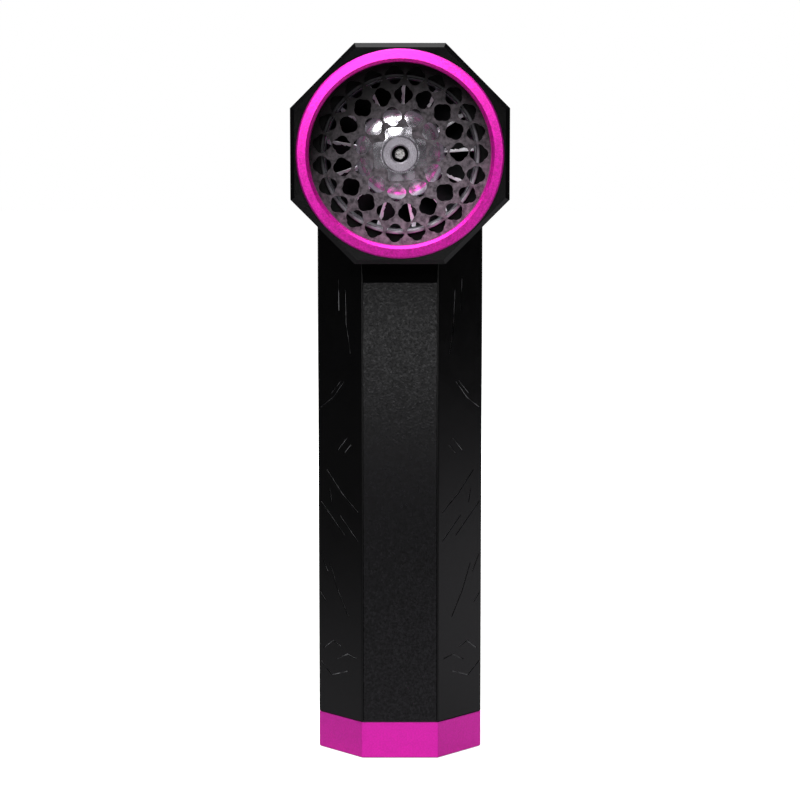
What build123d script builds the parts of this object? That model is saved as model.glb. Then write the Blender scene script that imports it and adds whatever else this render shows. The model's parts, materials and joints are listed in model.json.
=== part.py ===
"""Handheld cordless nail dust collector.

An octagonal head holds an axial fan behind a perforated guard, and stands on an octagonal battery grip.
Air and dust enter at the front, pass the impeller and the stator, and leave through a filter cup that pulls
off the back. Millimetres, +Z up, origin at the centre of the end cap's underside, front towards -Y.
"""

import os
from math import cos, radians, sin, sqrt

from build123d import *

# ---------------------------------------------------------------- driving dimensions
head_across = 60.0  # octagon of the head, across its flats
head_axis_z = 172.0  # height of the fan's axis above the base
head_front = -37.0
head_rear = 26.0
head_bore_r = 26.6
head_edge = 1.2  # bevel round the head's front edge

grip_half_width = 23.5
grip_half_depth = 25.0
grip_face_half = 10.9  # half width of the flat front and rear faces
grip_corner_y = 12.0  # where the chamfer faces meet the side faces
grip_wall = 2.2
grip_corner_round = 0.5
panel_half = 10.5
panel_thick = 1.0
panel_edge = 0.15
panel_gap = 5.8  # plain housing between the panels and the head
accent_depth = 0.25
accent_width = 0.32

cap_height = 10.4
seam = 0.4  # gasket between the end cap and the grip

guard_front = -31.0
guard_thick = 1.0
guard_r = 26.4
hole_span = 5.2  # tip to tip of a quatrefoil hole
hole_lobe = 3.3

duct_front = -29.2
duct_rear = 14.0
tunnel_r = 21.0  # bore round the impeller
stator_r = 22.9
blade_count = 13
impeller_r = 20.6
hub_r = 13.0
motor_r = 13.0
shaft_r = 1.5
bearing_r = 4.0
running_gap = 0.05
part_gap = 0.1  # fitting gap between fixed pieces
slide_gap = 0.3  # clear gap beside anything that moves

cup_front = head_rear + 0.2
cup_rear = 38.0
spigot_r = head_bore_r - slide_gap

cell_r = 9.2
cell_length = 65.0
cell_pitch = 18.6
cell_base = 18.0
board_front = 16.6
board_thick = 1.2
board_half = 8.5

button_z = 118.0
dial_z = 99.0
lens_z = 83.0
port_z = 20.0

# ---------------------------------------------------------------- derived values
head_bottom = head_axis_z - head_across / 2
head_axis = Axis((0, 0, head_axis_z), (0, 1, 0))
grip_base = cap_height + seam
cell_top = cell_base + cell_length
board_rear = board_front + board_thick
grip_inner_rear = grip_half_depth - grip_wall
panel_top = head_bottom - panel_gap
guard_rear = guard_front + guard_thick
duct_outer_r = stator_r + 1.3
flange_r = guard_r
cell_spots = [
    (0, -cell_pitch / sqrt(3)),
    (cell_pitch / 2, cell_pitch / sqrt(12)),
    (-cell_pitch / 2, cell_pitch / sqrt(12)),
]


def head_plane(y):
    """A plane square to the fan's axis at y. Its normal points forwards and its local y points up."""
    return Plane(origin=(0, y, head_axis_z), x_dir=(1, 0, 0), z_dir=(0, -1, 0))


# Half-sections of turned pieces lie here: local x runs along the fan's axis, local y is the radius.
turning_plane = Plane(origin=(0, 0, head_axis_z), x_dir=(0, 1, 0), z_dir=(1, 0, 0))


def rear_plane(y, z):
    """A plane parallel to the grip's rear face at depth y, centred at height z, facing backwards."""
    return Plane(origin=(0, y, z), x_dir=(-1, 0, 0), z_dir=(0, 1, 0))


def grip_outline(inset):
    """Corner points of the grip's octagon, moved inwards by inset all round."""
    slope = (grip_half_width - grip_face_half) / (grip_half_depth - grip_corner_y)
    slant = sqrt(1 + slope**2)
    x_side = grip_half_width - inset
    y_face = grip_half_depth - inset
    x_face = grip_face_half + inset * (slope - slant)
    y_side = grip_corner_y + inset * (1 - slant) / slope
    return [
        (x_face, -y_face),
        (x_side, -y_side),
        (x_side, y_side),
        (x_face, y_face),
        (-x_face, y_face),
        (-x_side, y_side),
        (-x_side, -y_side),
        (-x_face, -y_face),
    ]


def rounded_outline(z):
    """The grip's octagon at a height, with its corners a little rounded."""
    with BuildSketch(Plane.XY.offset(z)) as outline:
        with BuildLine():
            Polyline(*grip_outline(0), close=True)
        make_face()
        fillet(outline.vertices(), grip_corner_round)
    return outline.sketch


def disc(y_front, y_rear, outer_r, inner_r=0.0):
    """A plain ring or disc on the fan's axis."""
    with BuildPart() as piece:
        with BuildSketch(head_plane(y_front)):
            Circle(outer_r)
            if inner_r > 0:
                Circle(inner_r, mode=Mode.SUBTRACT)
        extrude(amount=y_front - y_rear)
    return piece


def blade_section(radius, chord, camber, thick, stagger):
    """A cambered blade outline at a radius.

    The fan's axis is local Z, and the blade stands along local X."""
    turn = radians(stagger)
    half = chord / 2
    edge = 0.17
    plane = Plane(origin=(radius, 0, 0), x_dir=(0, cos(turn), sin(turn)), z_dir=(1, 0, 0))
    with BuildSketch(plane) as outline:
        with BuildLine():
            ThreePointArc((-half, edge), (-half - edge, 0), (-half, -edge))
            ThreePointArc((-half, -edge), (0, camber - thick / 2), (half, -edge))
            ThreePointArc((half, -edge), (half + edge, 0), (half, edge))
            ThreePointArc((half, edge), (0, camber + thick / 2), (-half, edge))
        make_face()
    return outline.sketch


# ---------------------------------------------------------------- head: shell and front
corner_r = head_across / 2 / cos(radians(22.5))
magnet_r = 29.2
magnet_radius = 1.9
magnet_long = 2.0
ring_r = 28.4
ring_seat_r = ring_r + part_gap
ring_seat_depth = 3.2
step_r = 25.2
step_front = duct_rear
step_rear = 18.0
lead_slot_width = 5.6
lead_slot_long = 3.6
lead_slot_y = 5.0
neck_screw_spots = [(x, y) for x in (-7.0, 7.0) for y in (-12.0, 15.5)]
neck_head_r = 2.3
neck_head_top = head_bottom + 2.9
neck_shank_r = 1.25

with BuildPart() as head_shell:
    with BuildSketch(head_plane(head_front)):
        RegularPolygon(corner_r, 8, rotation=22.5)
    extrude(amount=head_front - head_rear)
    front_edges = head_shell.faces().sort_by(Axis.Y)[0].edges()
    chamfer(front_edges, head_edge)
    rear_edges = head_shell.faces().sort_by(Axis.Y)[-1].edges()
    chamfer(rear_edges, 0.3)
    with BuildSketch(head_plane(head_front)):
        Circle(ring_seat_r)
    extrude(amount=-ring_seat_depth, mode=Mode.SUBTRACT)
    with BuildSketch(head_plane(head_front)):
        Circle(head_bore_r)
    extrude(amount=head_front - step_front, mode=Mode.SUBTRACT)
    with BuildSketch(head_plane(step_front)):
        Circle(step_r)
    extrude(amount=step_front - step_rear, mode=Mode.SUBTRACT)
    with BuildSketch(head_plane(step_rear)):
        Circle(head_bore_r)
    extrude(amount=step_rear - head_rear, mode=Mode.SUBTRACT)
    with BuildSketch(head_plane(head_rear)):
        with PolarLocations(magnet_r, 4, start_angle=22.5):
            Circle(magnet_radius + part_gap)
    extrude(amount=magnet_long + 0.2, mode=Mode.SUBTRACT)
    with BuildSketch(Plane.XY.offset(head_bottom)):
        with Locations((0, lead_slot_y)):
            Rectangle(lead_slot_width, lead_slot_long)
        with Locations(*neck_screw_spots):
            Circle(neck_shank_r + part_gap)
    extrude(amount=8, mode=Mode.SUBTRACT)
    with BuildSketch(Plane.XY.offset(neck_head_top - 1.4)):
        with Locations(*neck_screw_spots):
            Circle(neck_head_r + part_gap)
    extrude(amount=8, mode=Mode.SUBTRACT)

# The ring's face leans back a little towards its outer edge, between two bevels.
ring_front = head_front - 0.8
ring_inner_r = 25.0
ring_lean = 0.3
ring_edge = 0.4
with BuildPart() as trim_ring:
    with BuildSketch(turning_plane):
        with BuildLine():
            Polyline(
                (ring_front, ring_inner_r + 0.8),
                (ring_front + ring_lean, ring_r - ring_edge),
                (ring_front + ring_lean + ring_edge, ring_r),
                (head_front + ring_seat_depth - part_gap, ring_r),
                (head_front + ring_seat_depth - part_gap, head_bore_r - part_gap),
                (guard_front, head_bore_r - part_gap),
                (guard_front, ring_inner_r),
                (ring_front + 0.8, ring_inner_r),
                close=True,
            )
        make_face()
    revolve(axis=head_axis)

# Rings of quatrefoil holes: radius, count, and how far the first hole sits clockwise from the top.
hole_rings = [(10.5, 11, -11.5), (16.25, 17, 3.4), (21.7, 23, 11.5)]
window_span = 14.6
window_arm = 7.4
window_r = 5.7
with BuildPart() as intake_guard:
    with BuildSketch(head_plane(guard_front)):
        Circle(guard_r)
        Circle(window_r, mode=Mode.SUBTRACT)
        with Locations(Location((0, 0, 0), (0, 0, 4))):
            RectangleRounded(window_span, window_arm, 1.0, mode=Mode.SUBTRACT)
            RectangleRounded(window_arm, window_span, 1.0, mode=Mode.SUBTRACT)
        for radius, count, clockwise in hole_rings:
            with PolarLocations(radius, count, start_angle=90 - clockwise):
                SlotOverall(hole_span, hole_lobe, mode=Mode.SUBTRACT)
                SlotOverall(hole_span, hole_lobe, rotation=90, mode=Mode.SUBTRACT)
    extrude(amount=-guard_thick)

guard_seal = disc(guard_rear, duct_front, guard_r, 25.2)

# ---------------------------------------------------------------- fan duct and stator
inlet_front = -28.9
lip_front = -28.0
lip_r = 22.1
tunnel_rear = -8.0
with BuildPart() as fan_duct:
    with BuildSketch(turning_plane):
        with BuildLine():
            Polyline(
                (lip_front, tunnel_r),
                (lip_front, lip_r),
                (duct_front + 2.4, lip_r),
                (duct_front + 2.4, 25.2),
                (duct_front, 25.2),
                (duct_front, flange_r),
                (duct_front + 3.2, flange_r),
                (duct_front + 3.2, duct_outer_r),
                (duct_rear - 2.0, duct_outer_r),
                (duct_rear - 2.0, flange_r),
                (duct_rear, flange_r),
                (duct_rear, stator_r + part_gap),
                (tunnel_rear, stator_r + part_gap),
                (tunnel_rear, tunnel_r),
                close=True,
            )
        make_face()
    revolve(axis=head_axis)
    with BuildSketch(Plane.XY.offset(head_axis_z - flange_r)):
        with Locations((0, lead_slot_y)):
            Rectangle(lead_slot_width, lead_slot_long)
    extrude(amount=6, mode=Mode.SUBTRACT)

duct_inlet_ring = disc(inlet_front, lip_front, lip_r, tunnel_r)
with duct_inlet_ring:
    fillet(duct_inlet_ring.faces().sort_by(Axis.Y)[0].edges(), 0.3)

vane_front = tunnel_rear + part_gap
sleeve_r = 14.2
sleeve_rear = 15.0
vane_mid = -1.0
strut_width = 7.4
strut_long = 6.0
with BuildPart() as stator_vane:
    vane_root = blade_section(sleeve_r - 0.6, 10.8, -1.0, 1.1, 64)
    vane_tip = blade_section(tunnel_r + 0.5, 10.8, -0.9, 1.1, 72)
    loft([vane_root, vane_tip])

with BuildPart(head_plane(vane_mid)) as stator_vane_ring:
    with PolarLocations(0, blade_count, start_angle=90 - 180 / blade_count):
        add(stator_vane.part)
    with BuildSketch(head_plane(vane_front)):
        Circle(sleeve_r)
    extrude(amount=vane_front - sleeve_rear)
    with BuildSketch(head_plane(vane_front)):
        Circle(stator_r)
        Circle(tunnel_r, mode=Mode.SUBTRACT)
    extrude(amount=vane_front - duct_rear)
    with BuildSketch(Plane.XY.offset(head_axis_z - stator_r + 0.5)):
        with Locations((0, lead_slot_y)):
            Rectangle(strut_width, strut_long)
    extrude(amount=stator_r - sleeve_r + 0.6)
    with BuildSketch(head_plane(vane_front)):
        Circle(motor_r + part_gap)
    extrude(amount=vane_front - sleeve_rear + 1.3, mode=Mode.SUBTRACT)
    with BuildSketch(head_plane(sleeve_rear)):
        Circle(6.0)
        with PolarLocations(9.5, 3, start_angle=90):
            Circle(1.1)
    extrude(amount=2, mode=Mode.SUBTRACT)
    with BuildSketch(Plane.XY.offset(head_axis_z - stator_r - 1)):
        with Locations((0, lead_slot_y)):
            Rectangle(lead_slot_width, lead_slot_long)
    extrude(amount=stator_r - motor_r + 2, mode=Mode.SUBTRACT)

# ---------------------------------------------------------------- motor
can_front = vane_front
can_wall = 1.0
can_rear = 12.0
boss_r = 5.6
front_bearing_rear = can_front + 4.0
rear_bearing_front = 10.2
rear_bearing_rear = 14.2
cover_rear = 13.6
core_front = -1.5
core_rear = 8.5
tooth_count = 9
tooth_width = 2.2
with BuildPart() as motor_housing:
    with BuildSketch(turning_plane):
        with BuildLine():
            Polyline(
                (can_front, bearing_r),
                (can_front, motor_r),
                (can_rear, motor_r),
                (can_rear, motor_r - can_wall),
                (can_front + 1.2, motor_r - can_wall),
                (can_front + 1.2, boss_r),
                (front_bearing_rear, boss_r),
                (front_bearing_rear, bearing_r),
                close=True,
            )
        make_face()
    revolve(axis=head_axis)
    with BuildSketch(Plane.XY.offset(head_axis_z - motor_r - 1)):
        with Locations((0, lead_slot_y)):
            Rectangle(lead_slot_width, lead_slot_long)
    extrude(amount=3, mode=Mode.SUBTRACT)

with BuildPart() as motor_rear_cover:
    with BuildSketch(turning_plane):
        with BuildLine():
            Polyline(
                (can_rear, motor_r),
                (cover_rear, motor_r),
                (cover_rear, boss_r),
                (rear_bearing_rear, boss_r),
                (rear_bearing_rear, bearing_r),
                (rear_bearing_front, bearing_r),
                (rear_bearing_front, boss_r),
                (can_rear, boss_r),
                close=True,
            )
        make_face()
    revolve(axis=head_axis)
    with BuildSketch(head_plane(cover_rear)):
        with PolarLocations(9.5, 3, start_angle=90):
            Circle(1.0)
    extrude(amount=2, mode=Mode.SUBTRACT)

with BuildPart() as motor_stator_core:
    with BuildSketch(head_plane(core_front)):
        Circle(motor_r - can_wall)
        Circle(10.4, mode=Mode.SUBTRACT)
        with PolarLocations(8.8, tooth_count, start_angle=90):
            Rectangle(3.8, tooth_width)
    extrude(amount=core_front - core_rear)

with BuildPart() as motor_windings:
    with BuildSketch(head_plane(core_front - 1.2)):
        with PolarLocations(8.75, tooth_count, start_angle=90):
            Rectangle(2.7, tooth_width + 2.0)
    extrude(amount=core_front - core_rear - 2.4)
    with BuildSketch(head_plane(core_front)):
        with PolarLocations(8.75, tooth_count, start_angle=90):
            Rectangle(2.9, tooth_width)
    extrude(amount=core_front - core_rear, mode=Mode.SUBTRACT)

front_bearing = disc(can_front, front_bearing_rear, bearing_r, shaft_r + running_gap)
rear_bearing = disc(rear_bearing_front, rear_bearing_rear, bearing_r, shaft_r + running_gap)
rotor_magnet = disc(core_front - 1.0, core_rear + 1.0, 6.3, shaft_r)

with BuildPart() as motor_screws:
    with BuildSketch(head_plane(cover_rear - 1.5)):
        with PolarLocations(9.5, 3, start_angle=90):
            Circle(0.9)
    extrude(amount=cover_rear - 1.5 - sleeve_rear)
    with BuildSketch(head_plane(sleeve_rear)):
        with PolarLocations(9.5, 3, start_angle=90):
            Circle(1.9)
    extrude(amount=-1.1)
    with BuildSketch(head_plane(sleeve_rear + 1.1)):
        with PolarLocations(9.5, 3, start_angle=90):
            RegularPolygon(0.75, 6)
    extrude(amount=0.6, mode=Mode.SUBTRACT)

tail_rear = 20.6
with BuildPart() as motor_tail_cap:
    with BuildSketch(turning_plane):
        with BuildLine():
            Line((sleeve_rear, 12.8), (sleeve_rear, sleeve_r))
            Spline((sleeve_rear, sleeve_r), (18.4, 10.5), (tail_rear, 0), tangents=[(1, 0), (0, -1)])
            Line((tail_rear, 0), (tail_rear - 1.0, 0))
            Line((tail_rear - 1.0, 0), (tail_rear - 2.6, 9.6))
            Line((tail_rear - 2.6, 9.6), (sleeve_rear, 12.8))
        make_face()
    revolve(axis=head_axis)

# ---------------------------------------------------------------- impeller and shaft
shaft_front = -27.2
shaft_rear = 15.4
collar_front = -27.6
collar_r = 5.0
dish_r = 2.7
hub_front = -26.0
hub_rear = -9.4
nose_rear = -20.8
nose_r = 5.4
socket_r = 2.3
socket_rear = -22.0
blade_mid = -17.5
with BuildPart() as impeller_blade:
    blade_root = blade_section(hub_r - 2.0, 12.4, -1.2, 1.2, 118)
    blade_tip = blade_section(impeller_r + 1.0, 13.6, -1.0, 0.8, 142)
    loft([blade_root, blade_tip])
    with BuildSketch(Plane.XY):
        Circle(impeller_r)
    extrude(amount=20, both=True, mode=Mode.INTERSECT)

with BuildPart(head_plane(blade_mid)) as impeller:
    with PolarLocations(0, blade_count, start_angle=100):
        add(impeller_blade.part)
    with BuildSketch(turning_plane):
        with BuildLine():
            Line((hub_rear, shaft_r), (hub_rear, hub_r))
            Line((hub_rear, hub_r), (nose_rear, hub_r))
            Spline((nose_rear, hub_r), (-24.0, 11.0), (hub_front, nose_r), tangents=[(-1, 0), (-0.3, -1)])
            Polyline(
                (hub_front, nose_r),
                (hub_front, socket_r),
                (socket_rear, socket_r),
                (socket_rear, shaft_r),
                (hub_rear, shaft_r),
            )
        make_face()
    revolve(axis=head_axis)

with BuildPart() as impeller_collar:
    with BuildSketch(turning_plane):
        with BuildLine():
            Polyline(
                (collar_front + 0.4, socket_r),
                (collar_front, dish_r),
                (collar_front, collar_r - 0.3),
                (collar_front + 0.3, collar_r),
                (hub_front, collar_r),
                (hub_front, socket_r),
                close=True,
            )
        make_face()
    revolve(axis=head_axis)

motor_shaft = disc(shaft_front, shaft_rear, shaft_r)
with motor_shaft:
    chamfer(motor_shaft.faces().sort_by(Axis.Y)[0].edges(), 0.25)

# ---------------------------------------------------------------- filter cup
cup_bore_r = 26.0
cup_back = 1.6
cup_mouth_r = 24.4
spigot_front = 20.0
grille_front = cup_rear - cup_back - 1.2
with BuildPart() as filter_cup_shell:
    with BuildSketch(head_plane(cup_front)):
        RegularPolygon(corner_r, 8, rotation=22.5)
    extrude(amount=cup_front - cup_rear)
    chamfer(filter_cup_shell.faces().sort_by(Axis.Y)[-1].edges(), head_edge)
    chamfer(filter_cup_shell.faces().sort_by(Axis.Y)[0].edges(), 0.3)
    with BuildSketch(head_plane(spigot_front)):
        Circle(spigot_r)
    extrude(amount=spigot_front - cup_front - 1)
    with BuildSketch(head_plane(spigot_front)):
        Circle(24.9)
    extrude(amount=spigot_front - cup_front - 0.6, mode=Mode.SUBTRACT)
    with BuildSketch(head_plane(cup_front + 0.6)):
        Circle(cup_bore_r)
    extrude(amount=cup_front + 0.6 - cup_rear + cup_back, mode=Mode.SUBTRACT)
    with BuildSketch(head_plane(cup_rear)):
        Circle(cup_mouth_r)
    extrude(amount=cup_back + 1, mode=Mode.SUBTRACT)
    with BuildSketch(head_plane(cup_front)):
        with PolarLocations(magnet_r, 4, start_angle=22.5):
            Circle(magnet_radius + part_gap)
    extrude(amount=-magnet_long - 0.2, mode=Mode.SUBTRACT)

with BuildPart() as head_magnets:
    with BuildSketch(head_plane(head_rear - 0.2)):
        with PolarLocations(magnet_r, 4, start_angle=22.5):
            Circle(magnet_radius)
    extrude(amount=magnet_long)

with BuildPart() as cup_magnets:
    with BuildSketch(head_plane(cup_front + 0.2)):
        with PolarLocations(magnet_r, 4, start_angle=22.5):
            Circle(magnet_radius)
    extrude(amount=-magnet_long)

cup_seal = disc(spigot_front - 1.6, spigot_front, spigot_r - 0.2, 25.0)

with BuildPart() as exhaust_grille:
    with BuildSketch(head_plane(grille_front)):
        Circle(cup_bore_r - part_gap)
        Circle(5.0, mode=Mode.SUBTRACT)
        for radius, count, clockwise in hole_rings:
            with PolarLocations(radius, count, start_angle=90 - clockwise):
                SlotOverall(hole_span, hole_lobe, mode=Mode.SUBTRACT)
                SlotOverall(hole_span, hole_lobe, rotation=90, mode=Mode.SUBTRACT)
    extrude(amount=grille_front - cup_rear + cup_back)
    with BuildSketch(head_plane(grille_front)):
        Circle(6.4)
    extrude(amount=grille_front - cup_rear + cup_back)

frame_front = cup_front + 0.9
frame_r = cup_bore_r - part_gap
filter_frame = disc(frame_front, grille_front, frame_r, 24.5)

# The filter paper is folded in a zigzag across the frame, then cut to a disc.
pleat_pitch = 3.0
paper_thick = 0.5
pleat_front = frame_front + 0.4
pleat_rear = grille_front - 0.6
pleat_count = 17
fold_x = [pleat_pitch * (index - pleat_count) / 2 for index in range(2 * pleat_count + 1)]
fold_y = [pleat_front if index % 2 else pleat_rear - 0.7 for index in range(2 * pleat_count + 1)]
with BuildPart() as filter_media:
    with BuildSketch(Plane.XY.offset(head_axis_z - 24.5)):
        with BuildLine():
            Polyline(
                *zip(fold_x, fold_y),
                *zip(reversed(fold_x), [y + 2 * paper_thick for y in reversed(fold_y)]),
                close=True,
            )
        make_face()
    extrude(amount=49)
    with BuildSketch(head_plane(pleat_front - 1)):
        Circle(24.4)
    extrude(amount=-12, mode=Mode.INTERSECT)

# ---------------------------------------------------------------- grip shell
# Accent grooves on the four chamfer faces. Each is a run of points: distance from the face's front edge
# across the chamfer, and height. They are cut as thin engraved strokes.
accent_strokes = [
    [(9.5, 137.0), (9.2, 128.0)],
    [(6.6, 134.0), (6.2, 124.0), (4.6, 116.0)],
    [(7.2, 108.0), (12.0, 103.0), (17.2, 99.8)],
    [(8.4, 108.2), (12.6, 104.2)],
    [(5.9, 92.0), (10.0, 88.0)],
    [(4.4, 90.2), (7.2, 87.4)],
    [(14.6, 82.0), (8.0, 75.6), (1.5, 71.0)],
    [(13.4, 76.5), (12.6, 72.8)],
    [(17.2, 72.6), (7.2, 63.8)],
    [(9.2, 69.4), (1.5, 62.6)],
    [(17.2, 57.4), (14.4, 52.4)],
    [(13.4, 55.0), (10.0, 47.4), (5.6, 40.4)],
    [(17.6, 46.0), (15.0, 43.4)],
    [(16.2, 29.6), (12.2, 32.4), (8.8, 31.2)],
    [(10.6, 27.2), (6.0, 29.4), (2.2, 28.6)],
    [(17.4, 25.6), (12.6, 22.2), (6.0, 24.4)],
]
chamfer_run = grip_half_width - grip_face_half
chamfer_rise = grip_half_depth - grip_corner_y
chamfer_long = sqrt(chamfer_run**2 + chamfer_rise**2)


def chamfer_plane(side, facing):
    """One chamfer face of the grip. side is the sign of x and facing the sign of y."""
    along = Vector(side * chamfer_run, -facing * chamfer_rise, 0) / chamfer_long
    outward = Vector(side * chamfer_rise, facing * chamfer_run, 0) / chamfer_long
    return Plane(origin=(side * grip_face_half, facing * grip_half_depth, 0), x_dir=along, z_dir=outward)


port_width = 8.94
port_high = 3.26
button_r = 5.0
dial_r = 7.0
dial_shaft_r = 3.0
lens_r = 0.9
lens_offsets = [-4.5, -1.5, 1.5, 4.5]


def control_holes():
    """Openings for the button, dial, charge lights and charging port, drawn from the port's height."""
    with Locations((0, button_z - port_z)):
        Circle(button_r + slide_gap)
    with Locations((0, dial_z - port_z)):
        Circle(dial_shaft_r + slide_gap)
    with Locations(*[(x, lens_z - port_z) for x in lens_offsets]):
        Circle(lens_r + part_gap)
    SlotOverall(port_width + 0.6, port_high + 0.6)


with BuildPart() as grip_shell:
    extrude(rounded_outline(grip_base), amount=head_axis_z - grip_base)
    with BuildSketch(Plane.XY.offset(grip_base)):
        with BuildLine():
            Polyline(*grip_outline(grip_wall), close=True)
        make_face()
    extrude(amount=head_axis_z - grip_base, mode=Mode.SUBTRACT)
    with BuildSketch(head_plane(head_front)):
        RegularPolygon(corner_r, 8, rotation=22.5)
    extrude(amount=-80, mode=Mode.SUBTRACT)
    for facing in (-1, 1):
        with BuildSketch(Plane.XY.offset(grip_base)):
            with Locations((0, facing * (grip_half_depth - panel_thick / 2))):
                Rectangle(2 * panel_half, panel_thick)
        extrude(amount=panel_top + 0.1 - grip_base, mode=Mode.SUBTRACT)
    with BuildSketch(rear_plane(grip_half_depth, port_z)):
        control_holes()
    extrude(amount=-grip_wall - 1, mode=Mode.SUBTRACT)
    for side in (-1, 1):
        for facing in (-1, 1):
            face = chamfer_plane(side, facing)
            with BuildSketch(face):
                for stroke in accent_strokes:
                    with BuildLine():
                        Polyline(*[(across, face.y_dir.Z * height) for across, height in stroke])
                    trace(line_width=accent_width)
            extrude(amount=-accent_depth, mode=Mode.SUBTRACT)

panel_base = grip_base + 0.1
panel_long = panel_top - panel_base
with BuildPart() as front_grip_panel:
    with BuildSketch(Plane.XY.offset(panel_base)):
        with Locations((0, -grip_half_depth + panel_thick / 2)):
            Rectangle(2 * panel_half - 0.1, panel_thick)
    extrude(amount=panel_long)
    chamfer(front_grip_panel.faces().sort_by(Axis.Y)[0].edges().filter_by(Axis.Z), panel_edge)

with BuildPart() as rear_control_panel:
    with BuildSketch(Plane.XY.offset(panel_base)):
        with Locations((0, grip_half_depth - panel_thick / 2)):
            Rectangle(2 * panel_half - 0.1, panel_thick)
    extrude(amount=panel_long)
    chamfer(rear_control_panel.faces().sort_by(Axis.Y)[-1].edges().filter_by(Axis.Z), panel_edge)
    with BuildSketch(rear_plane(grip_half_depth, port_z)):
        control_holes()
    extrude(amount=-panel_thick - 1, mode=Mode.SUBTRACT)

neck_base = 129.0
with BuildPart() as neck_block:
    with BuildSketch(Plane.XY.offset(neck_base)):
        with BuildLine():
            Polyline(*grip_outline(grip_wall + part_gap), close=True)
        make_face()
        with Locations((0, lead_slot_y)):
            Rectangle(lead_slot_width + 2, lead_slot_long + 4, mode=Mode.SUBTRACT)
        with Locations(*neck_screw_spots):
            Circle(neck_shank_r, mode=Mode.SUBTRACT)
    extrude(amount=head_bottom - neck_base)

with BuildPart() as neck_screws:
    with BuildSketch(Plane.XY.offset(neck_base + 4)):
        with Locations(*neck_screw_spots):
            Circle(neck_shank_r)
    extrude(amount=neck_head_top - 1.4 - neck_base - 4)
    with BuildSketch(Plane.XY.offset(neck_head_top - 1.4)):
        with Locations(*neck_screw_spots):
            Circle(neck_head_r)
    extrude(amount=1.4)
    with BuildSketch(Plane.XY.offset(neck_head_top)):
        with Locations(*neck_screw_spots):
            RegularPolygon(1.0, 6)
    extrude(amount=-0.8, mode=Mode.SUBTRACT)

# ---------------------------------------------------------------- battery
cells = []
for x_cell, y_cell in cell_spots:
    with BuildPart() as cell:
        with BuildSketch(Plane.XY.offset(cell_base)):
            with Locations((x_cell, y_cell)):
                Circle(cell_r)
        extrude(amount=cell_length - 1.0)
        with BuildSketch(Plane.XY.offset(cell_top - 1.0)):
            with Locations((x_cell, y_cell)):
                Circle(3.2)
        extrude(amount=1.0)
    cells.append(cell)
battery_cell_1, battery_cell_2, battery_cell_3 = cells

spigot_top = 14.4
holder_base = spigot_top + 0.2
holder_floor = cell_base - 0.4
holder_rear = board_front - 0.1
pocket_r = cell_r + 0.15
cap_screw_spots = [(x, y) for x in (-17.0, 17.0) for y in (-11.0, 11.0)]


def holder_face(z):
    """The grip's inner outline at a height, cut off in front of the control board."""
    with BuildSketch(Plane.XY.offset(z)) as outline:
        with BuildLine():
            Polyline(*grip_outline(grip_wall + part_gap), close=True)
        make_face()
        with Locations((0, holder_rear + 10)):
            Rectangle(60, 20, mode=Mode.SUBTRACT)
    return outline.sketch


def pocket_face(z):
    """Three cell pockets joined in the middle, so a link strip can cross between them."""
    with BuildSketch(Plane.XY.offset(z)) as outline:
        with Locations(*cell_spots):
            Circle(pocket_r)
        Circle(8.6)
    return outline.sketch


board_screw_x = 6.4
lead_spots = [(-4.5, -4.5), (0, -8.0)]
board_screw_low = 16.1
board_screw_high = 88.0

with BuildPart() as cell_holder_bottom:
    extrude(holder_face(holder_base), amount=cell_base + 5 - holder_base)
    extrude(pocket_face(holder_floor), amount=10, mode=Mode.SUBTRACT)
    with BuildSketch(Plane.XY.offset(holder_base)):
        with Locations(*cap_screw_spots):
            Circle(1.0)
    extrude(amount=2.6, mode=Mode.SUBTRACT)
    with BuildSketch(rear_plane(holder_rear, board_screw_low)):
        with Locations((-board_screw_x, 0), (board_screw_x, 0)):
            Circle(0.9)
    extrude(amount=-5, mode=Mode.SUBTRACT)

with BuildPart() as cell_holder_top:
    extrude(holder_face(cell_top - 5), amount=12)
    extrude(pocket_face(cell_top - 6), amount=6.6, mode=Mode.SUBTRACT)
    with BuildSketch(Plane.XY.offset(cell_top)):
        with Locations(*lead_spots):
            Circle(1.3)
    extrude(amount=8, mode=Mode.SUBTRACT)
    with BuildSketch(rear_plane(holder_rear, board_screw_high)):
        with Locations((-board_screw_x, 0), (board_screw_x, 0)):
            Circle(0.9)
    extrude(amount=-5, mode=Mode.SUBTRACT)


def link_strip(z):
    """A welded nickel strip that crosses from cell to cell, 0.3 thick."""
    with BuildPart() as strip:
        with BuildSketch(Plane.XY.offset(z)):
            for first, second in ((0, 1), (0, 2)):
                with BuildLine():
                    Line(cell_spots[first], cell_spots[second])
                trace(line_width=6)
        extrude(amount=0.3)
    return strip


bottom_cell_link = link_strip(cell_base - 0.3)
top_cell_link = link_strip(cell_top)

# ---------------------------------------------------------------- boards and leads
board_low = 15.0
board_high = 127.0
with BuildPart() as control_board:
    with BuildSketch(rear_plane(board_front, board_low)):
        with Locations((0, (board_high - board_low) / 2)):
            Rectangle(2 * board_half, board_high - board_low)
        for screw_z in (board_screw_low, board_screw_high):
            with Locations((-board_screw_x, screw_z - board_low), (board_screw_x, screw_z - board_low)):
                Circle(1.0, mode=Mode.SUBTRACT)
    extrude(amount=board_thick)
    with BuildSketch(rear_plane(board_rear, 50)):
        with Locations((0, 0)):
            Rectangle(7, 7)
        with Locations((0, -14)):
            Rectangle(5, 4)
        with Locations((5, 10), (-5, 10), (5, -8), (-5, -8)):
            Rectangle(2, 1.2)
    extrude(amount=1.0)

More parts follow.
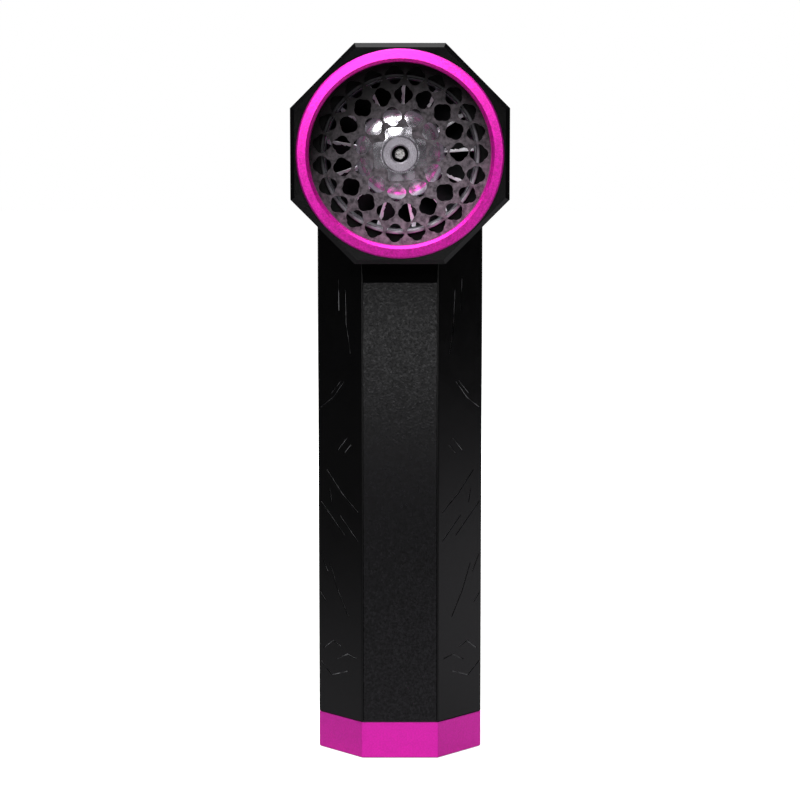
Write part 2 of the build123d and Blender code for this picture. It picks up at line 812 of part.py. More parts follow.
with BuildPart() as board_screws:
    for z_screw in (board_screw_low, board_screw_high):
        with BuildSketch(rear_plane(board_rear, z_screw)):
            with Locations((-board_screw_x, 0), (board_screw_x, 0)):
                Circle(0.9)
        extrude(amount=-5)
        with BuildSketch(rear_plane(board_rear, z_screw)):
            with Locations((-board_screw_x, 0), (board_screw_x, 0)):
                Circle(1.6)
        extrude(amount=1.0)

driver_y = -1.0
driver_low = 93.0
driver_high = 126.0
with BuildPart() as driver_board:
    with BuildSketch(head_plane(driver_y)):
        with Locations((0, (driver_low + driver_high) / 2 - head_axis_z)):
            Rectangle(30, driver_high - driver_low)
    extrude(amount=-1.6)
    with BuildSketch(head_plane(driver_y + 1.6)):
        with Locations((0, (driver_low + driver_high) / 2 - head_axis_z)):
            with GridLocations(8, 9, 3, 2):
                Rectangle(5, 6)
    extrude(amount=-1.2)

with BuildPart() as driver_capacitor:
    with BuildSketch(Plane.XY.offset(driver_low + 4)):
        with Locations((8, driver_y - 4.1)):
            Circle(4.0)
    extrude(amount=14)

with BuildPart() as motor_leads:
    with BuildSketch(Plane.XY.offset(driver_high)):
        with Locations((-1.8, lead_slot_y), (0, lead_slot_y), (1.8, lead_slot_y)):
            Circle(0.8)
    extrude(amount=head_axis_z - motor_r + 0.6 - driver_high)

with BuildPart() as battery_leads:
    with BuildSketch(Plane.XY.offset(cell_top + 0.3)):
        with Locations(*lead_spots):
            Circle(1.1)
    extrude(amount=driver_low + 6 - cell_top - 0.3)

with BuildPart() as button_switch:
    with BuildSketch(rear_plane(board_rear, button_z)):
        RectangleRounded(6.2, 6.2, 0.4)
    extrude(amount=1.9)
    with BuildSketch(rear_plane(board_rear + 1.9, button_z)):
        Circle(1.7)
    extrude(amount=0.8)

with BuildPart() as dial_potentiometer:
    with BuildSketch(rear_plane(board_rear, dial_z)):
        RectangleRounded(9.8, 11.0, 0.6)
    extrude(amount=4.8)
    with BuildSketch(rear_plane(board_rear + 1.4, dial_z)):
        Circle(dial_shaft_r + running_gap)
    extrude(amount=4, mode=Mode.SUBTRACT)

with BuildPart() as indicator_leds:
    with BuildSketch(rear_plane(board_rear, lens_z)):
        with Locations(*[(x, 0) for x in lens_offsets]):
            Rectangle(1.6, 1.0)
    extrude(amount=0.8)

with BuildPart() as battery_light_lenses:
    with BuildSketch(rear_plane(grip_half_depth, lens_z)):
        with Locations(*[(x, 0) for x in lens_offsets]):
            Circle(lens_r)
    extrude(amount=-5.8)

with BuildPart() as usb_c_port:
    with BuildSketch(rear_plane(board_rear, port_z)):
        SlotOverall(port_width, port_high)
    extrude(amount=6.9)
    with BuildSketch(rear_plane(board_rear + 6.9, port_z)):
        SlotOverall(port_width - 0.6, port_high - 0.6)
    extrude(amount=-6.2, mode=Mode.SUBTRACT)
    with BuildSketch(rear_plane(board_rear, port_z)):
        Rectangle(6.7, 0.7)
    extrude(amount=5.4)

# ---------------------------------------------------------------- controls that move
button_proud = 0.6
with BuildPart() as power_button:
    with BuildSketch(rear_plane(grip_inner_rear - 0.2, button_z)):
        Circle(button_r + 1.0)
    extrude(amount=-0.9)
    with BuildSketch(rear_plane(grip_inner_rear - 0.2, button_z)):
        Circle(button_r)
    extrude(amount=grip_half_depth + button_proud - grip_inner_rear + 0.2)
    fillet(power_button.faces().sort_by(Axis.Y)[-1].edges(), 0.4)

shaft_tip = 28.6
dial_front = grip_half_depth + slide_gap
dial_rear = 29.8
with BuildPart() as dial_shaft:
    with BuildSketch(rear_plane(board_rear + 1.6, dial_z)):
        Circle(dial_shaft_r)
    extrude(amount=shaft_tip - board_rear - 1.6)

grip_notches = 24
with BuildPart() as speed_dial:
    with BuildSketch(rear_plane(dial_front, dial_z)):
        Circle(dial_r)
    extrude(amount=dial_rear - dial_front)
    chamfer(speed_dial.faces().sort_by(Axis.Y)[-1].edges(), 0.4)
    with BuildSketch(rear_plane(dial_front, dial_z)):
        with PolarLocations(dial_r + 0.25, grip_notches):
            Circle(0.6)
    extrude(amount=dial_rear - dial_front, mode=Mode.SUBTRACT)
    with BuildSketch(rear_plane(dial_front, dial_z)):
        Circle(dial_shaft_r)
    extrude(amount=shaft_tip - dial_front, mode=Mode.SUBTRACT)
    with BuildSketch(rear_plane(dial_rear, dial_z)):
        with Locations((0, 3.6)):
            SlotOverall(3.6, 0.8, rotation=90)
    extrude(amount=-0.4, mode=Mode.SUBTRACT)

# ---------------------------------------------------------------- end cap
cap_floor = 2.4
with BuildPart() as end_cap:
    extrude(rounded_outline(0), amount=cap_height)
    chamfer(end_cap.faces().sort_by(Axis.Z)[0].edges(), 0.35)
    with BuildSketch(Plane.XY.offset(cap_height)):
        with BuildLine():
            Polyline(*grip_outline(grip_wall + part_gap), close=True)
        make_face()
    extrude(amount=spigot_top - cap_height)
    with BuildSketch(Plane.XY.offset(cap_floor)):
        with BuildLine():
            Polyline(*grip_outline(grip_wall + 1.9), close=True)
        make_face()
    extrude(amount=spigot_top - cap_floor, mode=Mode.SUBTRACT)
    with BuildSketch(Plane.XY.offset(cap_floor)):
        with Locations(*cap_screw_spots):
            Circle(3.0)
    extrude(amount=spigot_top - cap_floor)
    with BuildSketch(Plane.XY):
        with Locations(*cap_screw_spots):
            Circle(1.1)
    extrude(amount=spigot_top, mode=Mode.SUBTRACT)
    with BuildSketch(Plane.XY):
        with Locations(*cap_screw_spots):
            Circle(2.1)
    extrude(amount=1.9, mode=Mode.SUBTRACT)

with BuildPart() as end_cap_screws:
    with BuildSketch(Plane.XY.offset(0.5)):
        with Locations(*cap_screw_spots):
            Circle(1.9)
    extrude(amount=1.4)
    with BuildSketch(Plane.XY.offset(1.9)):
        with Locations(*cap_screw_spots):
            Circle(1.0)
    extrude(amount=holder_base + 2.0 - 1.9)
    with BuildSketch(Plane.XY.offset(0.5)):
        with Locations(*cap_screw_spots):
            RegularPolygon(0.8, 6)
    extrude(amount=0.7, mode=Mode.SUBTRACT)

with BuildPart() as cap_gasket:
    with BuildSketch(Plane.XY.offset(cap_height)):
        with BuildLine():
            Polyline(*grip_outline(0.35), close=True)
        make_face()
        with BuildLine():
            Polyline(*grip_outline(grip_wall), close=True)
        make_face(mode=Mode.SUBTRACT)
    extrude(amount=seam)

# ---------------------------------------------------------------- write every piece
pieces = {
    "head_shell": head_shell,
    "trim_ring": trim_ring,
    "intake_guard": intake_guard,
    "guard_seal": guard_seal,
    "fan_duct": fan_duct,
    "duct_inlet_ring": duct_inlet_ring,
    "stator_vane_ring": stator_vane_ring,
    "motor_housing": motor_housing,
    "motor_rear_cover": motor_rear_cover,
    "motor_stator_core": motor_stator_core,
    "motor_windings": motor_windings,
    "front_bearing": front_bearing,
    "rear_bearing": rear_bearing,
    "rotor_magnet": rotor_magnet,
    "motor_shaft": motor_shaft,
    "motor_screws": motor_screws,
    "motor_tail_cap": motor_tail_cap,
    "motor_leads": motor_leads,
    "impeller": impeller,
    "impeller_collar": impeller_collar,
    "head_magnets": head_magnets,
    "filter_cup_shell": filter_cup_shell,
    "filter_frame": filter_frame,
    "filter_media": filter_media,
    "exhaust_grille": exhaust_grille,
    "cup_seal": cup_seal,
    "cup_magnets": cup_magnets,
    "grip_shell": grip_shell,
    "neck_block": neck_block,
    "neck_screws": neck_screws,
    "front_grip_panel": front_grip_panel,
    "rear_control_panel": rear_control_panel,
    "power_button": power_button,
    "button_switch": button_switch,
    "speed_dial": speed_dial,
    "dial_shaft": dial_shaft,
    "dial_potentiometer": dial_potentiometer,
    "indicator_leds": indicator_leds,
    "battery_light_lenses": battery_light_lenses,
    "control_board": control_board,
    "board_screws": board_screws,
    "driver_board": driver_board,
    "driver_capacitor": driver_capacitor,
    "battery_leads": battery_leads,
    "battery_cell_1": battery_cell_1,
    "battery_cell_2": battery_cell_2,
    "battery_cell_3": battery_cell_3,
    "cell_holder_bottom": cell_holder_bottom,
    "cell_holder_top": cell_holder_top,
    "bottom_cell_link": bottom_cell_link,
    "top_cell_link": top_cell_link,
    "usb_c_port": usb_c_port,
    "end_cap": end_cap,
    "cap_gasket": cap_gasket,
    "end_cap_screws": end_cap_screws,
}

os.makedirs("parts", exist_ok=True)
for label, piece in pieces.items():
    piece.part.label = label
    export_step(piece.part, f"parts/{label}.step")
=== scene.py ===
"""Looks of the handheld nail dust collector: materials, light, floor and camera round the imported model."""

import json
import math

import bpy
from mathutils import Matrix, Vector


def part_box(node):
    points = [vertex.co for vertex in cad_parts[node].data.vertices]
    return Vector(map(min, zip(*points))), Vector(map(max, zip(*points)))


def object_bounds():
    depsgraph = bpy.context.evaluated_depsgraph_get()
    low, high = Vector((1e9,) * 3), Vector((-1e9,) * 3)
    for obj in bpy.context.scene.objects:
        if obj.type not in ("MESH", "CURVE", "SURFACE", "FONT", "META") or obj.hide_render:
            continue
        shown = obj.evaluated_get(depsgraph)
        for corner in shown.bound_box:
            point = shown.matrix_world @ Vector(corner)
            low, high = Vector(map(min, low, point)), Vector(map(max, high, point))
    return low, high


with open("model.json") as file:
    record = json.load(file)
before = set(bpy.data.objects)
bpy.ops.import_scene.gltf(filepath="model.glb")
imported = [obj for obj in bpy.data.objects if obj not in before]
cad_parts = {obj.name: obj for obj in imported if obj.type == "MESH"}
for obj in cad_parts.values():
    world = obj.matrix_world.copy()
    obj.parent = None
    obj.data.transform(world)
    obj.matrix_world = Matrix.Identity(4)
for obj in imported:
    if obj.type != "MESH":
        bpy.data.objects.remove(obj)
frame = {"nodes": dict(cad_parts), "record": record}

cad_low, cad_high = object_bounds()
nodes = frame["nodes"]
MM = 0.001


def middle(node):
    """The centre of a CAD node's box."""
    low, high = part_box(node)
    return (low + high) / 2


AXIS = middle("trim_ring")
HEAD_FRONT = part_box("head_shell")[0].y
# The guard and the inlet ring are painted lighter round this point, low on the right, and painted darker away
# from it, where the trim ring shades them: painted light and shade.
LIT_SIDE_POINT = AXIS + Vector((0.009, 0, -0.020))


# ---------------------------------------------------------------- camera
CAMERA_DISTANCE = 0.600
CAMERA_PITCH = math.radians(6.41)
CAMERA_LENS_MM = 98.5
CAMERA_SENSOR_MM = 36.0

camera_data = bpy.data.cameras.new("camera")
camera_data.lens = CAMERA_LENS_MM
camera_data.sensor_width = CAMERA_SENSOR_MM
camera = bpy.data.objects.new("camera", camera_data)
camera.location = (0, HEAD_FRONT - CAMERA_DISTANCE, AXIS.z)
camera.rotation_euler = (math.pi / 2 - CAMERA_PITCH, 0, 0)
bpy.context.scene.collection.objects.link(camera)
bpy.context.scene.camera = camera
bpy.context.scene.view_settings.view_transform = "Standard"


# ---------------------------------------------------------------- materials
class Shader:
    """A small helper round one material's node tree."""

    def __init__(self, name):
        self.material = bpy.data.materials.new(name)
        self.material.use_nodes = True
        self.tree = self.material.node_tree
        self.bsdf = self.tree.nodes["Principled BSDF"]
        self.place = self.add("ShaderNodeTexCoord").outputs["Object"]

    def add(self, kind, **values):
        """Adds a node, and sets its inputs by name, with _ for a space."""
        node = self.tree.nodes.new(kind)
        for key, value in values.items():
            node.inputs[key.replace("_", " ")].default_value = value
        return node

    def link(self, output, target):
        self.tree.links.new(output, target)

    def set(self, **values):
        """Sets uniform values on the shader's own sockets."""
        for key, value in values.items():
            self.bsdf.inputs[key.replace("_", " ")].default_value = value

    def noise(self, size, detail=3.0, rough=0.5, stretch=(1, 1, 1)):
        """Noise whose features are about size metres across."""
        mapping = self.add("ShaderNodeMapping", Scale=stretch)
        self.link(self.place, mapping.inputs["Vector"])
        noise = self.add("ShaderNodeTexNoise", Scale=1 / size, Detail=detail, Roughness=rough)
        self.link(mapping.outputs["Vector"], noise.inputs["Vector"])
        return noise.outputs["Fac"]

    def cells(self, size):
        """Distance from the middle of each Voronoi cell, with cells about size metres across."""
        voronoi = self.add("ShaderNodeTexVoronoi", Scale=1 / size)
        self.link(self.place, voronoi.inputs["Vector"])
        return voronoi.outputs["Distance"]

    def away(self, centre):
        """Distance from a point of the object, in metres."""
        node = self.add("ShaderNodeVectorMath")
        node.operation = "DISTANCE"
        node.inputs[1].default_value = centre
        self.link(self.place, node.inputs[0])
        return node.outputs["Value"]

    def span(self, value, from_low, from_high, to_low=0.0, to_high=1.0):
        """Maps one range of a value onto another, held inside it."""
        limits = {"From_Min": from_low, "From_Max": from_high, "To_Min": to_low, "To_Max": to_high}
        node = self.add("ShaderNodeMapRange", **limits)
        self.link(value, node.inputs["Value"])
        return node.outputs["Result"]

    def mix(self, factor, first, second):
        """A colour between two colours, each a tuple or an output."""
        node = self.add("ShaderNodeMix")
        node.data_type = "RGBA"
        self.link(factor, node.inputs["Factor"])
        for value, socket in ((first, node.inputs[6]), (second, node.inputs[7])):
            if isinstance(value, tuple):
                socket.default_value = (*value, 1)
            else:
                self.link(value, socket)
        return node.outputs[2]

    def colour(self, output):
        self.link(output, self.bsdf.inputs["Base Color"])

    def rough(self, output):
        self.link(output, self.bsdf.inputs["Roughness"])

    def colour_patches(self, size, dark, light, detail=3.0):
        """Colours between dark and light, in soft patches about size metres across."""
        self.colour(self.mix(self.noise(size, detail), dark, light))

    def rough_patches(self, size, low, high, detail=3.0, harsh=0.5):
        """Roughness from low to high, in soft patches about size metres across."""
        self.rough(self.span(self.noise(size, detail, harsh), 0.3, 0.7, low, high))

    def bump(self, height, strength, distance, before=None):
        """Bump from a height, on top of the bump before it if there is one."""
        node = self.add("ShaderNodeBump", Strength=strength, Distance=distance)
        self.link(height, node.inputs["Height"])
        if before is not None:
            self.link(before, node.inputs["Normal"])
        self.link(node.outputs["Normal"], self.bsdf.inputs["Normal"])
        return node.outputs["Normal"]


TURNED = (0.2, 1, 0.2)      # stretches a noise round the fan's axis
GROUND = (1, 0.1, 1)        # stretches a noise along the fan's axis
FIBROUS = (1, 3, 0.4)       # stretches a noise up the filter's pleats


def satin_black():
    """Satin black coating over metal: an even micro grain, faint handling marks."""
    s = Shader("satin_black")
    s.set(IOR=1.45, Specular_IOR_Level=0.33)
    s.colour_patches(0.012, (0.0003, 0.0003, 0.0004), (0.0009, 0.0009, 0.0010))
    s.rough_patches(0.006, 0.20, 0.24, 4, 0.6)
    fine = s.bump(s.noise(0.00016, 2), 0.1, 0.00002)
    s.bump(s.noise(0.0022, 2), 0.02, 0.00006, fine)
    return s.material


def plain_black():
    """Smooth matt black, with nearly no gloss."""
    s = Shader("plain_black")
    s.set(IOR=1.45, Specular_IOR_Level=0.03)
    s.colour_patches(0.006, (0.0006, 0.0006, 0.0007), (0.0012, 0.0012, 0.0013))
    s.rough_patches(0.002, 0.4, 0.5)
    return s.material


def etched_line():
    """Bare metal at the floor of an engraved stroke, patchy with dark residue."""
    s = Shader("etched_line")
    s.set(Metallic=0.3)
    bared = s.span(s.noise(0.004, 3, 0.6), 0.4, 0.6)
    s.colour(s.mix(bared, (0.03, 0.03, 0.032), (0.26, 0.26, 0.27)))
    s.rough_patches(0.001, 0.4, 0.6, 2)
    return s.material


def grained_panel():
    """Coarse grain, like a spark-eroded mould's, matt in its pits and glossier on its peaks."""
    s = Shader("grained_panel")
    s.set(IOR=1.45, Specular_IOR_Level=0.32)
    grain = s.cells(0.0006)
    fine = s.noise(0.0007, 3, 0.65)
    s.colour(s.mix(s.span(fine, 0.38, 0.66), (0.0002, 0.0002, 0.0003), (0.0074, 0.0072, 0.0082)))
    s.rough(s.span(fine, 0.36, 0.64, 0.26, 0.12))
    first = s.bump(grain, 0.2, 0.00005)
    s.bump(fine, 0.2, 0.00006, first)
    return s.material


def magenta_anodised(name, dark, grain):
    """Bead-blasted and anodised magenta aluminium: a fine sparkling grain, as strong as asked."""
    s = Shader(name)
    s.set(Metallic=1.0, Coat_Weight=0.6, Coat_Roughness=0.40, Coat_IOR=1.6)
    speck = s.cells(0.00045)
    fine = s.noise(0.0005, 3, 0.7)
    s.colour(s.mix(s.span(fine, 0.36, 0.64), dark, (1.0, 0.011, 0.62)))
    s.rough_patches(0.0012, 0.45, 0.55)
    first = s.bump(speck, 0.35 * grain, 0.00006)
    s.bump(fine, 0.45 * grain, 0.00007, first)
    return s.material


def guard_metal():
    """Etched sheet with a thin dark coat in random worn patches, and painted light and shade: a paler lit
    copy round the lit side, a darker copy away from it, and painted black shadow at the top, where the trim
    ring shades it.
    """
    s = Shader("guard_metal")
    s.set(Specular_IOR_Level=0.14)
    worn = s.span(s.noise(0.0014, 4, 0.7), 0.36, 0.64)
    # Shaded and lit copies of the coat; the lit copy's pink tint is a painted reflection of the magenta ring.
    painted_shaded_coat = s.mix(worn, (0.004, 0.004, 0.004), (0.030, 0.026, 0.029))
    painted_lit_coat = s.mix(worn, (0.030, 0.026, 0.030), (0.125, 0.108, 0.122))
    # Painted light and shade: lighter round the lit side, darker away from it, then painted black at the top,
    # in the trim ring's shadow.
    shade = s.mix(s.span(s.away(LIT_SIDE_POINT), 0.010, 0.040), painted_lit_coat, painted_shaded_coat)
    s.colour(s.mix(s.span(s.away(LIT_SIDE_POINT), 0.0355, 0.042), shade, (0.0015, 0.0014, 0.0015)))
    s.rough_patches(0.0008, 0.42, 0.56)
    s.bump(s.noise(0.00025, 3, 0.6), 0.3, 0.00005)
    return s.material


def aluminium_painted_shade():
    """Aluminium in random patches, with painted light and shade: bright bare metal round the lit side,
    painted dark away from it, where the trim ring shades it.
    """
    s = Shader("aluminium_painted_shade")
    s.set(Metallic=0.8)
    patch = s.noise(0.0015)
    painted_dark = s.mix(patch, (0.014, 0.014, 0.015), (0.030, 0.030, 0.032))
    bare = s.mix(patch, (0.22, 0.21, 0.23), (0.40, 0.39, 0.43))
    # Painted shade: bright round the lit side, dark away from it.
    s.colour(s.mix(s.span(s.away(LIT_SIDE_POINT), 0.012, 0.036), bare, painted_dark))
    s.rough_patches(0.001, 0.35, 0.5)
    return s.material


def polished_metal():
    """Turned and polished aluminium with very faint rings, tinted lavender: the tint is a painted reflection
    of the magenta ring.
    """
    s = Shader("polished_metal")
    s.set(Metallic=0.88)
    # The lavender tint is a painted reflection of the magenta ring.
    s.colour_patches(0.004, (0.72, 0.69, 0.76), (0.86, 0.83, 0.90))
    s.rough_patches(0.0015, 0.18, 0.28)
    s.bump(s.noise(0.0006, 2, 0.5, TURNED), 0.06, 0.00003)
    return s.material


def bright_bore():
    """Bare turned aluminium on the duct's running surface."""
    s = Shader("bright_bore")
    s.set(Metallic=0.6)
    s.colour_patches(0.002, (0.56, 0.55, 0.60), (0.74, 0.72, 0.78))
    s.rough_patches(0.001, 0.4, 0.55)
    s.bump(s.noise(0.0004, 2, 0.5, TURNED), 0.1, 0.00004)
    return s.material


def dark_blade():
    """Black anodised blade faces."""
    s = Shader("dark_blade")
    s.set(IOR=1.45, Specular_IOR_Level=0.15)
    s.colour_patches(0.003, (0.0015, 0.0015, 0.0018), (0.004, 0.004, 0.0045))
    s.rough_patches(0.001, 0.38, 0.5)
    return s.material


def machined_edge():
    """Bright machined leading edges."""
    s = Shader("machined_edge")
    s.set(Metallic=0.7)
    s.colour_patches(0.002, (0.66, 0.65, 0.68), (0.88, 0.86, 0.90))
    s.rough_patches(0.001, 0.4, 0.5)
    return s.material


def blasted_metal():
    """Clear-anodised, bead-blasted aluminium."""
    s = Shader("blasted_metal")
    s.set(Metallic=1.0)
    fine = s.noise(0.0003, 3, 0.65)
    s.colour(s.mix(s.span(fine, 0.35, 0.65), (0.25, 0.23, 0.26), (0.54, 0.51, 0.57)))
    s.rough_patches(0.001, 0.3, 0.45, 2)
    s.bump(fine, 0.5, 0.00008)
    return s.material


def ground_steel():
    """Ground steel with lengthwise grinding marks."""
    s = Shader("ground_steel")
    s.set(Metallic=1.0)
    s.colour_patches(0.002, (0.64, 0.61, 0.61), (0.80, 0.77, 0.77))
    s.rough_patches(0.0007, 0.2, 0.34)
    s.bump(s.noise(0.00025, 2, 0.5, GROUND), 0.15, 0.00003)
    return s.material


def filter_paper():
    """Pleated filter paper: soft fibres and light dust."""
    s = Shader("filter_paper")
    s.set(Sheen_Weight=0.2)
    fibres = s.noise(0.0005, 4, 0.7, FIBROUS)
    s.colour(s.mix(fibres, (0.66, 0.64, 0.58), (0.86, 0.85, 0.80)))
    s.rough(s.span(fibres, 0.3, 0.7, 0.8, 0.95))
    s.bump(fibres, 0.5, 0.0001)
    return s.material


def frosted_lens():
    """A small frosted light pipe."""
    s = Shader("frosted_lens")
    s.set(IOR=1.49, Transmission_Weight=0.6)
    s.colour_patches(0.0006, (0.72, 0.76, 0.80), (0.86, 0.89, 0.92), 2)
    s.rough_patches(0.0004, 0.3, 0.45, 2)
    return s.material


def moulded_plastic(name, dark, light, rough_low=0.42, rough_high=0.56, shine=0.5):
    """Moulded plastic with a fine even texture."""
    s = Shader(name)
    s.set(Specular_IOR_Level=shine)
    s.colour_patches(0.003, dark, light)
    s.rough_patches(0.0015, rough_low, rough_high)
    s.bump(s.noise(0.0003), 0.25, 0.00005)
    return s.material


def metal(name, dark, light, rough_low, rough_high, grain=0.0005):
    """A plain metal with small colour and gloss changes."""
    s = Shader(name)
    s.set(Metallic=1.0)
    s.colour_patches(0.0015, dark, light)
    s.rough_patches(0.001, rough_low, rough_high)
    s.bump(s.noise(grain), 0.15, 0.00004)
    return s.material


# Also put on the impeller's socket as painted shade.
duct_plastic = moulded_plastic("duct_plastic", (0.002, 0.002, 0.002), (0.005, 0.005, 0.005), 0.45, 0.55, 0.12)
# One material for each of the record's slots.
materials = {
    "black_housing": satin_black(),
    "magenta_anodised": magenta_anodised("magenta_anodised", (0.66, 0.003, 0.34), 1.0),
    "textured_panel": grained_panel(),
    "guard_metal": guard_metal(),
    "polished_metal": polished_metal(),
    "collar_metal": blasted_metal(),
    "steel": ground_steel(),
    "duct_plastic": duct_plastic,
    "black_plastic": moulded_plastic("black_plastic", (0.012, 0.012, 0.013), (0.024, 0.024, 0.025)),
    "rubber": moulded_plastic("rubber", (0.010, 0.010, 0.010), (0.018, 0.018, 0.018), 0.65, 0.8),
    "magnet": metal("magnet_nickel", (0.5, 0.49, 0.47), (0.6, 0.59, 0.57), 0.15, 0.25),
    "copper": metal("copper_wire", (0.55, 0.2, 0.09), (0.75, 0.32, 0.16), 0.25, 0.4, 0.0003),
    "laminated_steel": metal("laminated_steel", (0.24, 0.24, 0.25), (0.4, 0.4, 0.41), 0.4, 0.55, 0.0003),
    "filter_paper": filter_paper(),
    "filter_edge": moulded_plastic("filter_edge", (0.62, 0.62, 0.6), (0.74, 0.74, 0.72), 0.35, 0.5),
    "board_green": moulded_plastic("board_green", (0.008, 0.06, 0.03), (0.014, 0.1, 0.05), 0.25, 0.4),
    "cell_wrap": moulded_plastic("cell_wrap", (0.02, 0.09, 0.25), (0.03, 0.12, 0.32), 0.25, 0.35),
    "holder_plastic": moulded_plastic("holder_plastic", (0.03, 0.03, 0.03), (0.05, 0.05, 0.05)),
    "nickel": metal("nickel_strip", (0.5, 0.48, 0.44), (0.62, 0.6, 0.56), 0.2, 0.35),
    "lead_red": moulded_plastic("lead_red", (0.3, 0.008, 0.008), (0.42, 0.014, 0.014), 0.45, 0.6),
    "lead_black": moulded_plastic("lead_black", (0.01, 0.01, 0.01), (0.02, 0.02, 0.02), 0.45, 0.6),
    "capacitor": moulded_plastic("capacitor_sleeve", (0.01, 0.01, 0.03), (0.02, 0.02, 0.05), 0.25, 0.35),
    "lens": frosted_lens(),
    "led": moulded_plastic("led_body", (0.6, 0.6, 0.4), (0.75, 0.75, 0.55), 0.3, 0.4),
    "screw_steel": metal("black_oxide", (0.05, 0.05, 0.052), (0.09, 0.09, 0.095), 0.3, 0.45),
}


def dress(item, material):
    """Gives every face of an object one material."""
    item.data.materials.clear()
    item.data.materials.append(material)
    for polygon in item.data.polygons:
        polygon.material_index = 0


for entry in frame["record"]["subparts"]:
    dress(nodes[entry["node"]], materials[entry["material_slot"]])
dress(nodes["duct_inlet_ring"], aluminium_painted_shade())
dress(nodes["end_cap"], magenta_anodised("magenta_smooth", (0.88, 0.004, 0.50), 0.45))


# ---------------------------------------------------------------- finishes, and painted shade in the socket, on part of a node
# Sizes of the CAD model, and limits that tell a node's faces apart.
GRIP_HALF_WIDTH, GRIP_HALF_DEPTH = 23.5 * MM, 25.0 * MM
FRONT_FACE_HALF, SIDE_FACE_HALF = 10.9 * MM, 12.0 * MM
STROKE_LEAST_DEPTH, STROKE_MOST_DEPTH = 0.1 * MM, 0.5 * MM
BLADE_ROOT_RADIUS, BLADE_TIP_RADIUS = 12.7 * MM, 20.6 * MM
BLADE_ROOT_FRONT, BLADE_TIP_FRONT = -23.05 * MM, -22.1 * MM
BLADE_START = 0.04                  # of the way from root to tip; faces before it are the hub's
BLADE_EDGE_DEPTH = 0.45 * MM        # how far back a leading edge is bright
SOCKET_RADIUS, SOCKET_REAR = 2.35 * MM, -21.9 * MM
INLET_RING_RIM = 0.9 * MM           # from the inlet ring's outside in to just outside the bore
SQUARE_TO_CHAMFER = 0.99            # least cosine between a stroke's floor and its chamfer face
FACES_FORWARD = -0.75               # most normal.y of a front face, and less than a chamfer's
FACES_INWARD = -0.9                 # most cosine between a bore's face and the way out


def add_slot(item, material):
    """Adds a material slot to an object, and returns its index."""
    item.data.materials.append(material)
    return len(item.data.materials) - 1


def off_axis(polygon):
    """The way from the fan's axis to the middle of a face, square to the axis."""
    way = polygon.center - AXIS
    way.y = 0
    return way


def etch_strokes():
    """Gives the floors of the grip's engraved strokes a bare, paler finish."""
    grip = nodes["grip_shell"]
    bare = add_slot(grip, etched_line())
    outward = Vector((GRIP_HALF_DEPTH - SIDE_FACE_HALF, GRIP_HALF_WIDTH - FRONT_FACE_HALF, 0)).normalized()
    face_distance = outward.dot(Vector((FRONT_FACE_HALF, GRIP_HALF_DEPTH, 0)))
    for polygon in grip.data.polygons:
        facing = Vector((abs(polygon.normal.x), abs(polygon.normal.y), polygon.normal.z))
        place = Vector((abs(polygon.center.x), abs(polygon.center.y), 0))
        depth = face_distance - outward.dot(place)
        if facing.dot(outward) > SQUARE_TO_CHAMFER and STROKE_LEAST_DEPTH < depth < STROKE_MOST_DEPTH:
            polygon.material_index = bare


def finish_above_panel():
    """Gives the plain front strip between the panel and the head its matt finish."""
    grip = nodes["grip_shell"]
    matt = add_slot(grip, plain_black())
    panel_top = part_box("front_grip_panel")[1].z
    for polygon in grip.data.polygons:
        if polygon.normal.y < FACES_FORWARD and polygon.center.z > panel_top:
            polygon.material_index = matt


def finish_blades():
    """Makes the blade faces black and leaves their leading edges bright."""
    wheel = nodes["impeller"]
    black = add_slot(wheel, dark_blade())
    bright = add_slot(wheel, machined_edge())
    for polygon in wheel.data.polygons:
        along = (off_axis(polygon).length - BLADE_ROOT_RADIUS) / (BLADE_TIP_RADIUS - BLADE_ROOT_RADIUS)
        front = BLADE_ROOT_FRONT + (BLADE_TIP_FRONT - BLADE_ROOT_FRONT) * along
        if along > BLADE_START:
            polygon.material_index = bright if polygon.center.y < front + BLADE_EDGE_DEPTH else black


def paint_socket_shade():
    """Blackens the socket round the end of the shaft, in the hub and in the collar: painted shade in the
    recess.
    """
    for name in ("impeller", "impeller_collar"):
        item = nodes[name]
        black = add_slot(item, duct_plastic)
        for polygon in item.data.polygons:
            if off_axis(polygon).length < SOCKET_RADIUS and polygon.center.y < SOCKET_REAR:
                polygon.material_index = black


def finish_bore():
    """Gives the duct's running surface round the impeller a bare finish."""
    duct = nodes["fan_duct"]
    bare = add_slot(duct, bright_bore())
    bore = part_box("duct_inlet_ring")[1].x - INLET_RING_RIM
    for polygon in duct.data.polygons:
        way = off_axis(polygon)
        if way.length < bore and polygon.normal.dot(way.normalized()) < FACES_INWARD:
            polygon.material_index = bare


etch_strokes()
finish_above_panel()
finish_blades()
paint_socket_shade()
finish_bore()


# ---------------------------------------------------------------- floor and light
FLOOR_HALF = 6.0
FLOOR_DROP = 0.0002     # the floor that is seen, below the underside
BOUNCE_DROP = 0.0012    # the floor that only lights the object


def floor_sheet(name, drop):
    """A large flat sheet, a little below the object's underside."""
    half = FLOOR_HALF
    corners = [(-half, -half, 0), (half, -half, 0), (half, half, 0), (-half, half, 0)]
    mesh = bpy.data.meshes.new(name)
    mesh.from_pydata(corners, [], [(0, 1, 2, 3)])
    sheet = bpy.data.objects.new(name, mesh)
    sheet.location.z = cad_low.z - drop
    bpy.context.scene.collection.objects.link(sheet)
    return sheet


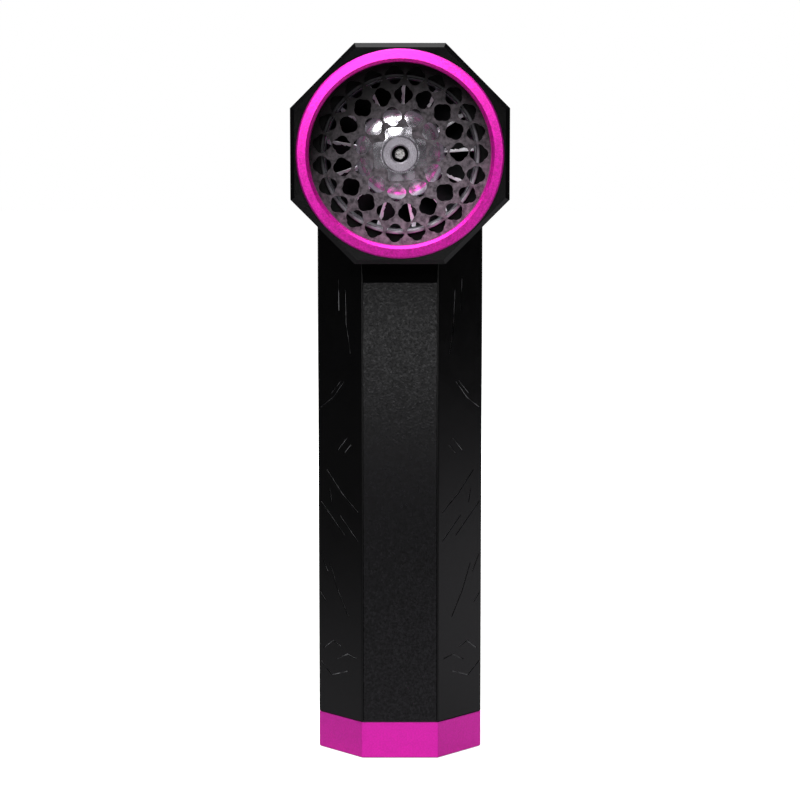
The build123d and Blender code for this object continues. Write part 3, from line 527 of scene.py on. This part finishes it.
def make_seen_floor():
    """A white floor that only the camera sees."""
    sheet = floor_sheet("floor", FLOOR_DROP)
    s = Shader("pale_floor")
    s.set(Emission_Color=(1, 1, 1, 1))
    s.link(s.span(s.away((0, 0, 0)), 0.1, 0.6, 0.86, 1.0), s.bsdf.inputs["Emission Strength"])
    s.colour_patches(0.8, (0.40, 0.40, 0.40), (0.44, 0.44, 0.44), 2)
    s.rough_patches(0.5, 0.85, 0.9, 2)
    dress(sheet, s.material)
    sheet.visible_diffuse = False
    sheet.visible_glossy = False
    sheet.visible_transmission = False
    sheet.visible_shadow = False


def make_bounce_floor():
    """A floor that the camera doesn't see, which lights the object from below; its colour is a painted pool
    of light, grey round a point behind and right of the object and nearly black far off.
    """
    sheet = floor_sheet("floor_bounce", BOUNCE_DROP)
    s = Shader("grey_floor")
    # Painted pool of light: grey near this point, fading to nearly black.
    light_pool_fade = s.span(s.away((0.30, 0.24, 0)), 0.14, 0.70)
    s.colour(s.mix(light_pool_fade, (0.36, 0.35, 0.37), (0.010, 0.010, 0.010)))
    s.rough_patches(0.5, 0.85, 0.9, 2)
    dress(sheet, s.material)
    sheet.visible_camera = False


def area_light(name, place, size, power, aim):
    """A soft rectangular light at place, turned towards aim."""
    data = bpy.data.lights.new(name, "AREA")
    data.shape = "RECTANGLE"
    data.size, data.size_y = size
    data.energy = power
    light = bpy.data.objects.new(name, data)
    light.location = place
    light.rotation_euler = (Vector(aim) - Vector(place)).to_track_quat("-Z", "Y").to_euler()
    bpy.context.scene.collection.objects.link(light)


def white_surround():
    """White behind the object, and a dim grey wherever the object reflects its surround."""
    world = bpy.data.worlds.new("surround")
    world.use_nodes = True
    tree = world.node_tree
    backdrop = tree.nodes["Background"]
    backdrop.inputs["Color"].default_value = (1, 1, 1, 1)
    backdrop.inputs["Strength"].default_value = 1.0
    studio = tree.nodes.new("ShaderNodeBackground")
    studio.inputs["Color"].default_value = (0.9, 0.88, 1.0, 1)
    studio.inputs["Strength"].default_value = 0.03
    path = tree.nodes.new("ShaderNodeLightPath")
    mix = tree.nodes.new("ShaderNodeMixShader")
    tree.links.new(path.outputs["Is Camera Ray"], mix.inputs["Fac"])
    tree.links.new(studio.outputs["Background"], mix.inputs[1])
    tree.links.new(backdrop.outputs["Background"], mix.inputs[2])
    tree.links.new(mix.outputs["Shader"], tree.nodes["World Output"].inputs["Surface"])
    bpy.context.scene.world = world


make_seen_floor()
make_bounce_floor()
white_surround()
area_light("key_softbox", (-0.27, -0.74, 1.08), (0.75, 0.78), 32, AXIS)
area_light("overhead_softbox", (0.1, 0.0, 1.15), (0.9, 0.9), 7, AXIS)
area_light("front_strip", (-0.05, -0.95, 0.50), (0.75, 0.20), 1.9, (0, 0, 0.15))
area_light("front_card", (0.0, -0.95, 0.045), (0.62, 0.05), 0.30, (0, 0, 0.045))
area_light("rear_left", (-0.8, 0.9, 0.6), (1.1, 1.1), 9, AXIS)
area_light("rear_right", (0.8, 0.9, 0.6), (1.1, 1.1), 8, AXIS)
area_light("rear_strip", (0.1, 1.0, 0.45), (0.8, 0.3), 6, (0, 0, 0.1))
